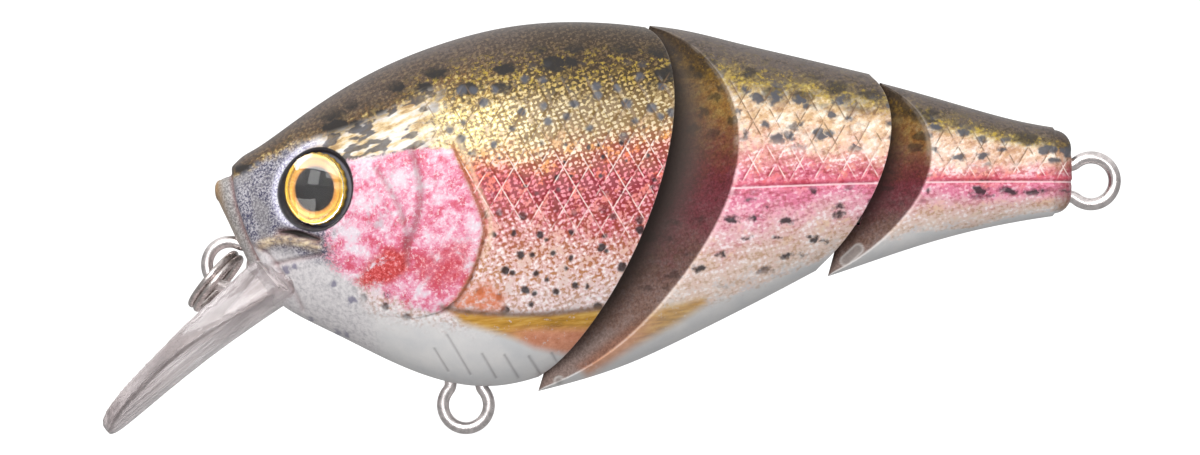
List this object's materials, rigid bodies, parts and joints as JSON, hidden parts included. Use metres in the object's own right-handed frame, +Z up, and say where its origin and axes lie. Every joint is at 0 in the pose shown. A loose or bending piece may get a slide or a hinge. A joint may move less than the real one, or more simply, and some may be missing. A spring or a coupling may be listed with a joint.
{
  "type": "jointed crankbait",
  "caption": "Hard-bodied jointed fishing lure whose pinned wedge sections swing side to side, with a clear diving lip, a line tie with split ring, and hook eyes at belly and tail.",
  "frame": {"origin": "centre of the line tie's eye hole", "axes": "+X toward the tail, +Y toward the fish's right side, +Z up toward its back"},
  "size_m": [0.0956, 0.0176, 0.039],
  "materials": {
    "painted_body": "clear-coated trout paint on moulded ABS",
    "clear_lip": "clear polished polycarbonate",
    "eye_foil": "printed foil",
    "eye_lens": "clear domed resin",
    "wire_steel": "bright drawn stainless wire",
    "ring_steel": "nickel plated spring steel",
    "pin_steel": "ground stainless pin",
    "hinge_tab": "stamped stainless plate",
    "ballast_steel": "plain steel ball"
  },
  "bodies": {
    "head": {"head_shell_left": "painted_body", "head_shell_right": "painted_body", "diving_lip": "clear_lip", "line_tie_wire": "wire_steel", "belly_hanger_wire": "wire_steel", "left_eye_disc": "eye_foil", "left_eye_dome": "eye_lens", "right_eye_disc": "eye_foil", "right_eye_dome": "eye_lens", "head_ballast_front": "ballast_steel", "head_ballast_rear": "ballast_steel", "front_hinge_tab_upper": "hinge_tab", "front_hinge_tab_lower": "hinge_tab"},
    "middle": {"mid_shell_left": "painted_body", "mid_shell_right": "painted_body", "front_hinge_pin": "pin_steel", "mid_ballast": "ballast_steel", "rear_hinge_tab_upper": "hinge_tab", "rear_hinge_tab_lower": "hinge_tab"},
    "tail": {"tail_shell_left": "painted_body", "tail_shell_right": "painted_body", "rear_hinge_pin": "pin_steel", "tail_hanger_wire": "wire_steel"},
    "ring": {"split_ring": "ring_steel"}
  },
  "joints": [
    {"name": "front_hinge", "type": "hinge", "parent": "head", "child": "middle", "pos_m": [0.03635, 0, 0.0056], "axis": [0.2924, 0, 0.9563], "range_deg": [-22, 22]},
    {"name": "rear_hinge", "type": "hinge", "parent": "middle", "child": "tail", "pos_m": [0.0602, 0, 0.0082], "axis": [0.2588, 0, 0.9659], "range_deg": [-28, 28]},
    {"name": "ring_swing", "type": "hinge", "parent": "head", "child": "ring", "pos_m": [0, 0, 0], "axis": [0, 1, 0], "range_deg": [-10, 100]}
  ]
}
